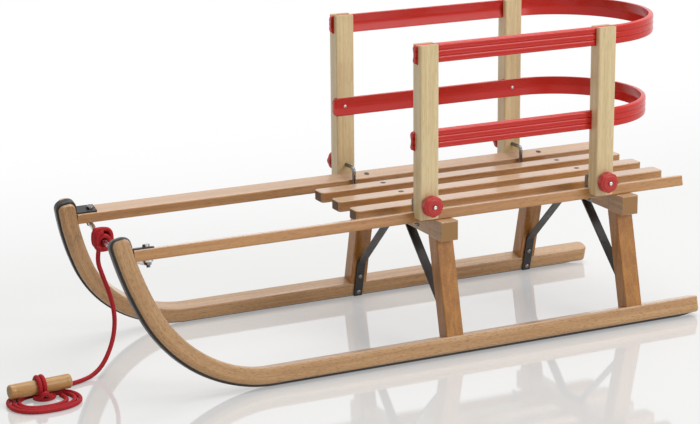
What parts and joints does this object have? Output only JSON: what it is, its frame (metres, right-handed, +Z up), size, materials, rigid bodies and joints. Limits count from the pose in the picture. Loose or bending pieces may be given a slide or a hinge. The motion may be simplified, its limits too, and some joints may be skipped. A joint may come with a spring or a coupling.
{
  "type": "wooden sled with backrest",
  "caption": "Wooden sled with curled steel-shod runners, a slatted seat, a clamp-on backrest of posts and ridged bands, and a pull rope with a wooden handle.",
  "frame": {"origin": "on the floor under the middle of the sled, measured without the rope's free end", "axes": "+X forward towards the curled tips, +Y to the sled's left, +Z up"},
  "size_m": [1.1532, 0.3828, 0.492],
  "materials": {
    "beech": "clear varnish",
    "pale_beech": "clear varnish",
    "handle_wood": "turned, clear varnish",
    "black_steel": "black coat",
    "zinc_steel": "bright zinc",
    "red_plastic": "satin moulded",
    "red_rope": "braided polyester"
  },
  "bodies": {
    "root": {"runner_left": "beech", "runner_shoe_left": "black_steel", "tip_plate_left": "black_steel", "outer_slat_left": "beech", "leg_front_left": "beech", "brace_front_left": "black_steel", "post_front_left": "pale_beech", "knob_front_left": "red_plastic", "hook_bolt_front_left": "zinc_steel", "leg_rear_left": "beech", "brace_rear_left": "black_steel", "post_rear_left": "pale_beech", "knob_rear_left": "red_plastic", "hook_bolt_rear_left": "zinc_steel", "runner_right": "beech", "runner_shoe_right": "black_steel", "tip_plate_right": "black_steel", "outer_slat_right": "beech", "leg_front_right": "beech", "brace_front_right": "black_steel", "post_front_right": "pale_beech", "knob_front_right": "red_plastic", "hook_bolt_front_right": "zinc_steel", "leg_rear_right": "beech", "brace_rear_right": "black_steel", "post_rear_right": "pale_beech", "knob_rear_right": "red_plastic", "hook_bolt_rear_right": "zinc_steel", "inner_slat_left": "beech", "inner_slat_center": "beech", "inner_slat_right": "beech", "yoke_front": "beech", "yoke_rear": "beech", "band_upper": "red_plastic", "band_lower": "red_plastic", "pull_bar": "black_steel", "rope_winding": "red_rope", "pull_rope": "red_rope", "rope_coil": "red_rope", "handle_wrap": "red_rope", "pull_handle": "handle_wood"}
  },
  "joints": []
}
